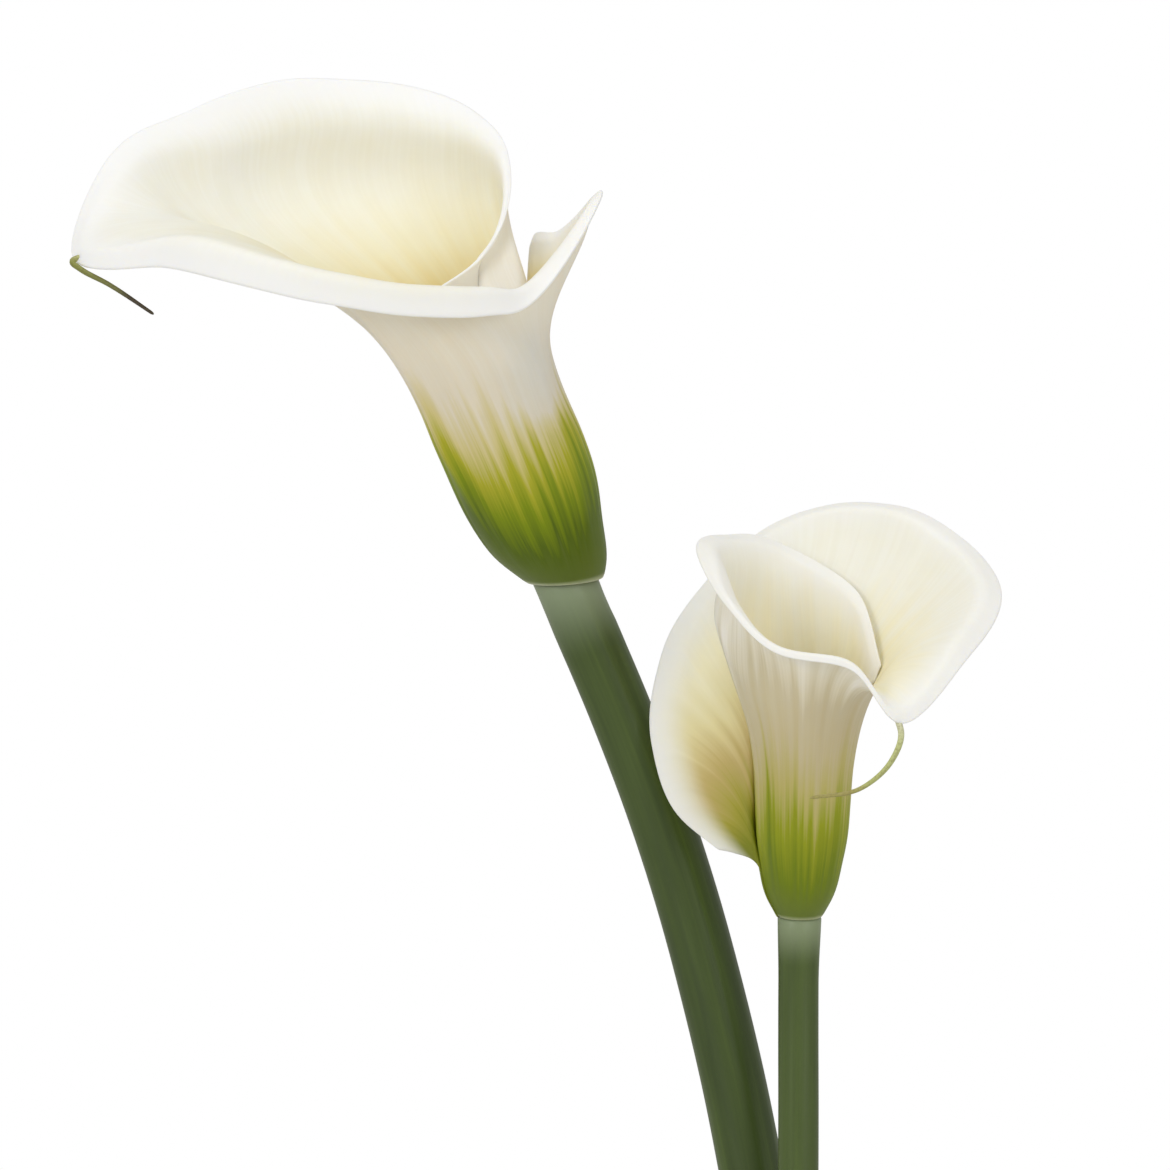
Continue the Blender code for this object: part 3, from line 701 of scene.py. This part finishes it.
def add_spathe(name, node, base, axes, tube, folds, rim, wall, grid, shifts, finishes):
    """The rolled sheet, from the inner margin round to the outer one, with its thickness.  wall is
    the step between layers and the thickness; finishes are those of the outside and the inside."""
    across, up = grid
    layer, sheet = wall
    knots = [row[0] for row in rim]
    columns = [(row[1], *row[2], *row[3:]) for row in rim]
    angles = line_angles(knots, columns, across + 1)
    table = smooth_values(knots, columns, angles)
    places = np.zeros((across + 1, up + 1, 3))
    for i, (angle, row) in enumerate(zip(angles, table)):
        wrap = layer * (angle - knots[0]) / 360.0
        share = i / across
        line = spathe_line(*axes, tube, folds, wrap, (angle, *row), share, up + 1)
        places[i] = line + np.array(base)
    height = np.array([run_along(line) for line in places])
    to_rim = height[:, -1:] - height
    shift = np.zeros_like(height)
    for side, width, higher, low, high in shifts:
        apart = (angles - side + 180) % 360 - 180
        lead = higher * MM * np.exp(-(apart / width) ** 2)
        shift += lead[:, None] * ease(height, low * MM, high * MM)
    fibre = np.zeros_like(places)
    fibre[:, :, 0] = (run_along(places[:, -1]) * GRAIN_BY_RIM + angles * GRAIN_BY_ANGLE)[:, None]
    fibre[:, :, 2] = height
    spathe = add_piece(name, laid_grid(places, fibre, height - shift, to_rim), finishes, node)
    thick = spathe.modifiers.new("sheet", "SOLIDIFY")
    thick.thickness = sheet
    thick.offset = 0.0
    thick.material_offset = 1
    thick.material_offset_rim = 1
    smoothed(spathe)


def tail_section(turn, share):
    """Shallow creases along the drying tip."""
    return TAIL_CREASE * waves(turn + TAIL_TWIST * share, TAIL_WAVES)


def add_tail(name, node, base, points, finish):
    """The thread at the spathe's tip, rounded at its end."""
    route = smooth_route(np.array(points) * MM + np.array(base), TAIL_POINTS)
    radii = np.linspace(TAIL_THICK, TAIL_THIN, TAIL_POINTS)
    radii[0] *= TAIL_ENDS[0]
    radii[-1] *= TAIL_ENDS[1]
    shape = round_body(route, radii, TAIL_SIDES, tail_section)
    smoothed(add_piece(name, shape, [finish], node))


def stem_section(turn, share):
    """A calla's stem is not quite round: a little oval, with shallow ribs."""
    oval = STEM_OVAL * np.cos(2 * math.pi * (2 * turn - 0.1))
    return oval + STEM_RIB * waves(turn, STEM_WAVES) - STEM_TRIM


def add_stem(name, node, axis, end_facing, sizes, finish):
    """A stem from its cut end in the vase to the flower, along the CAD stem's middle line."""
    foot_radius, top_radius, neck_radius = sizes
    low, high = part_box(node)
    levels = np.linspace(low.z + LEVEL_MARGIN, high.z - NECK_HEIGHT - LEVEL_MARGIN, STEM_LEVELS)
    middles = [section_middle(node, level) for level in levels]
    top = end_middle(node, axis)
    head = top - axis * NECK_HEIGHT
    foot = end_middle(node, middles[0] - middles[1])
    points = [foot, *middles, head - axis * STRAIGHT_TOP, head - axis * HEAD_GAP]
    route = list(smooth_route(points, STEM_POINTS))
    swell = ease(np.arange(STEM_POINTS), STEM_POINTS - SWELL_POINTS, STEM_POINTS) * STEM_SWELL
    radii = list(np.linspace(foot_radius, top_radius, STEM_POINTS) + swell)
    radii[0] -= CUT_EDGE
    inwards, step_height = SHOULDER
    route += [head, head + axis * step_height, head + axis * NECK_HEIGHT]
    radii += [radii[-1] - inwards, neck_radius, neck_radius]
    shape = round_body(route, radii, STEM_SIDES, stem_section, end_facing)
    add_piece(name, shape, [finish], node)
    return head


def add_spadix(name, node, axis, finish):
    """A finger set all over with florets in staggered rows, rounded at its tip."""
    low_end = end_middle(node, -axis)
    length = (end_middle(node, axis) - low_end).length
    spots = np.array([v.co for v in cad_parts[node].data.vertices]) - np.array(low_end)
    across = spots - (spots @ np.array(axis))[:, None] * np.array(axis)
    radius = np.linalg.norm(across, axis=1).max()
    rows = round(FLORETS_ROUND * length / (2 * math.pi * radius) / ROW_HEIGHT)
    shares = np.linspace(0.0, 1.0, rows * FLORET_STEPS + 1)
    height = radius * FLORET_HEIGHT
    widths = smooth_values(SPADIX_KNOTS, SPADIX_WIDTHS, shares)[:, 0] * (radius - height)
    route = [low_end + axis * length * share for share in shares]

    def florets(turn, share):
        """Share of the radius by which the florets stand out: domes in staggered rows."""
        row = share * rows
        turned = 0.5 * (np.floor(row) % 2) + ROW_TURN * np.floor(row)
        across_row = turn * FLORETS_ROUND + turned
        from_middle = ((across_row % 1) - 0.5) ** 2 + (ROW_HEIGHT * ((row % 1) - 0.5)) ** 2
        dome = np.sqrt(np.clip(1 - from_middle / 0.5 ** 2, 0.0, 1.0))
        return FLORET_HEIGHT * dome * ease(1 - share, 0.0, BARE_TIP)

    shape = round_body(route, widths, FLORETS_ROUND * FLORET_STEPS, florets)
    add_piece(name, shape, [finish], node)


# ---------------------------------------------------------------- vase
def vase_outline():
    """Half section from the middle of the underside, over the lip, to the floor inside."""
    vase_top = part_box("vase")[1].z
    body_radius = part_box("vase")[1].x
    neck_outer = MOUTH_RADIUS + WALL
    lip_height = vase_top - LIP_ROUND
    heights = np.linspace(FOOT_CURVE, lip_height, WALL_STEPS)
    knots = (FOOT_CURVE, BODY_WIDEST, lip_height - NECK_LENGTH, lip_height)
    widths = (FOOT_RADIUS + FOOT_CURVE / 2, body_radius, neck_outer + NECK_TAPER, neck_outer)
    outer = smooth_values(knots, widths, heights)[:, 0]
    fade = ease(heights, *RINGS_BEGIN) * (1 - ease(heights, lip_height - RINGS_FADE, lip_height))
    rings = -RING_DEPTH * (1 + np.sin(2 * math.pi * heights / THROWING_RING)) * fade
    points = [(0.0, FOOT_RING[0][1] * MM)]
    points += [(FOOT_RADIUS - inwards * MM, height * MM) for inwards, height in FOOT_RING]
    points += list(zip(outer + rings, heights))
    lip_middle = MOUTH_RADIUS + WALL / 2
    for step in range(1, LIP_STEPS):
        turn = math.pi * step / LIP_STEPS
        points.append((lip_middle + WALL / 2 * math.cos(turn),
                       lip_height + LIP_ROUND * math.sin(turn)))
    inner = outer - WALL - rings * INNER_RING_SHARE
    above_floor = heights > FLOOR + FLOOR_CURVE
    points += list(zip(inner[above_floor], heights[above_floor]))[::-1]
    corner = FOOT_RADIUS - WALL
    for step in range(1, CORNER_STEPS + 1):
        turn = 0.5 * math.pi * step / CORNER_STEPS
        points.append((corner - FLOOR_CURVE * (1 - math.cos(turn)),
                       FLOOR + FLOOR_CURVE * (1 - math.sin(turn))))
    points.append((0.0, FLOOR))
    return points


def add_vase(glaze, clay):
    """The half section turned round its axis, glazed down to the foot."""
    outline = vase_outline()
    turns = [2 * math.pi * side / VASE_SIDES for side in range(VASE_SIDES)]
    shape = bmesh.new()
    columns = [[shape.verts.new((r * math.cos(turn), r * math.sin(turn), z)) for r, z in outline]
               for turn in turns]
    for here, there in zip(columns, columns[1:] + columns[:1]):
        for corners in zip(here, there, there[1:], here[1:]):
            shape.faces.new(corners)
    bmesh.ops.remove_doubles(shape, verts=shape.verts, dist=MERGE_DISTANCE)
    bmesh.ops.recalc_face_normals(shape, faces=shape.faces)
    for face in shape.faces:
        face.material_index = 1 if face.calc_center_median().z < BARE_FOOT else 0
    add_piece("thrown_vase", shape, [glaze, clay], "vase")


# ---------------------------------------------------------------- the object
def add_object():
    # Each spathe finish ends with its margin's tint and reach: partly the margin's own paler
    # colour, partly painted highlight on the rolled lip
    large_outside = spathe_finish(
        "large_spathe_outside",
        # the first stop is the pale ring at the base: partly its own colour, partly painted
        # highlight on its rounded edge
        ((0.0, "c2c8a4"), (0.02, "5f6f26"), (0.12, "566a04"), (0.25, "809204"),
         (0.35, "b2b02c"), (0.45, "d8cc90"), (0.60, "eae0cc"), (1.0, "efeadd")),
        100 * MM, 36 * MM, "f3ebdc", "faf7ee", 13 * MM)
    large_inside = spathe_finish(
        "large_spathe_inside",
        ((0.0, "a89638"), (0.30, "cdb05c"), (0.46, "dcc074"), (0.58, "e7d59c"),
         (0.70, "efe6c4"), (0.84, "f5f1de"), (1.0, "faf8ec")),
        140 * MM, 20 * MM, "f4ecd6", "fefdf8", 16 * MM)
    small_outside = spathe_finish(
        "small_spathe_outside",
        # the first stop is the pale ring at the base: partly its own colour, partly painted
        # highlight on its rounded edge
        ((0.0, "b4bb93"), (0.02, "6a7a30"), (0.14, "74860f"), (0.32, "98a01c"),
         # the stops at 0.60 and 0.78 are the tube's beige darkened with painted shade under the lip
         (0.45, "bfb670"), (0.60, "cabf9a"), (0.78, "d0c8ae"), (1.0, "f5f1e6")),
        80 * MM, 38 * MM, "f3ebdc", "faf7ee", 10 * MM)
    small_inside = spathe_finish(
        "small_spathe_inside",
        ((0.0, "6a7410"), (0.24, "848a1c"), (0.34, "a8a23e"), (0.47, "c6b476"),
         (0.62, "eadeae"), (0.78, "fbf1ce"), (1.0, "faf7e8")),
        90 * MM, 22 * MM, "f4ecd6", "fcfaf2", 14 * MM)
    large_green = stem_finish("large_stem_skin", "4f6128", "3a4a1d", "93a080", 24 * MM)
    small_green = stem_finish("small_stem_skin", "56682f", "425222", "93a07c", 16 * MM)
    pollen = spadix_finish()
    large_head = add_stem("large_flower_stem", "large_stem", LARGE_AXIS,
                          LARGE_FOOT_AXIS, LARGE_STEM, large_green)
    small_head = add_stem("small_flower_stem", "small_stem", SMALL_AXIS,
                          SMALL_AXIS, SMALL_STEM, small_green)
    add_spathe("large_flower_spathe", "large_spathe", large_head,
               (LARGE_AXIS, LARGE_FOOT_AXIS), LARGE_TUBE, LARGE_FOLDS, LARGE_RIM,
               (LARGE_LAYER, LARGE_SHEET), LARGE_GRID, LARGE_SHIFTS, [large_outside, large_inside])
    add_spathe("small_flower_spathe", "small_spathe", small_head,
               (SMALL_AXIS, SMALL_AXIS), SMALL_TUBE, SMALL_FOLDS, SMALL_RIM,
               (SMALL_LAYER, SMALL_SHEET), SMALL_GRID, SMALL_SHIFTS, [small_outside, small_inside])
    large_tail = tail_finish("large_tail_drying",
                             ((0.0, "c9c78a"), (0.2, "8b8f45"), (0.75, "6f6f3c"), (0.92, "3d3526")))
    small_tail = tail_finish("small_tail_green",
                             ((0.0, "e4e2c4"), (0.3, "c3c888"), (0.8, "b3b871"), (1.0, "a39a58")))
    add_tail("large_flower_tail", "large_spathe", large_head, LARGE_TAIL,
             large_tail)
    add_tail("small_flower_tail", "small_spathe", small_head, SMALL_TAIL,
             small_tail)
    add_spadix("large_flower_spadix", "large_spadix", LARGE_AXIS, pollen)
    add_spadix("small_flower_spadix", "small_spadix", SMALL_AXIS, pollen)
    add_vase(glaze_finish(), clay_finish())


# ---------------------------------------------------------------- floor, light and camera
def add_light(name, place, size, power):
    lamp = bpy.data.lights.new(name, "AREA")
    lamp.shape = "DISK"
    lamp.size = size
    lamp.energy = power
    light = bpy.data.objects.new(name, lamp)
    bpy.context.scene.collection.objects.link(light)
    light.location = place
    light.rotation_euler = (Vector(FLOWERS) - Vector(place)).to_track_quat("-Z", "Y").to_euler()


def add_studio():
    """A wide pale floor, white surroundings, and soft light from both sides and from above."""
    shape = bmesh.new()
    bmesh.ops.create_circle(shape, cap_ends=True, radius=STUDIO_RADIUS, segments=96)
    bmesh.ops.translate(shape, verts=shape.verts, vec=(0, 0, -STUDIO_DROP))
    mesh = bpy.data.meshes.new("studio_floor")
    shape.to_mesh(mesh)
    shape.free()
    floor = bpy.data.objects.new("studio_floor", mesh)
    bpy.context.scene.collection.objects.link(floor)
    paint, tree, shader = new_finish("matt_floor_paint", {"Roughness": 0.8})
    where = add_node(tree, "TexCoord")
    cloud = add_node(tree, "TexNoise", {"Vector": where.outputs["Object"], "Scale": 1.5})
    pale = add_node(tree, "ValToRGB", {"Fac": cloud.outputs["Fac"]},
                    stops=((0.3, "ebeae7"), (0.7, "efeeec")))
    tree.links.new(pale.outputs["Color"], shader.inputs["Base Color"])
    mesh.materials.append(paint)

    world = bpy.data.worlds.new("studio_surroundings")
    bpy.context.scene.world = world
    world.use_nodes = True
    tree = world.node_tree
    tree.nodes.clear()
    rays = add_node(tree, "LightPath")
    seen = add_node(tree, "Background", {"Color": (1, 1, 1, 1), "Strength": 1.0})
    felt = add_node(tree, "Background", {"Color": (1, 0.995, 0.985, 1), "Strength": SURROUNDINGS})
    either = add_node(tree, "MixShader", {0: rays.outputs["Is Camera Ray"],
                                          1: felt.outputs[0], 2: seen.outputs[0]})
    add_node(tree, "OutputWorld", {"Surface": either.outputs[0]})

    for name, lamp in LAMPS.items():
        add_light(name, *lamp)


def add_camera():
    """A long lens, level with the flowers, that takes in both of them and their stems."""
    lens = bpy.data.cameras.new("camera")
    lens.lens = LENS
    lens.sensor_width = SENSOR_WIDTH
    lens.clip_end = 50.0
    camera = bpy.data.objects.new("camera", lens)
    bpy.context.scene.collection.objects.link(camera)
    x, y, z = VIEW_MIDDLE
    camera.location = (x, y - VIEW_WIDTH * LENS / SENSOR_WIDTH, z)
    camera.rotation_euler = (math.radians(90), 0, 0)
    bpy.context.scene.camera = camera


add_camera()
add_object()
add_studio()
bpy.context.scene.view_settings.view_transform = "Standard"
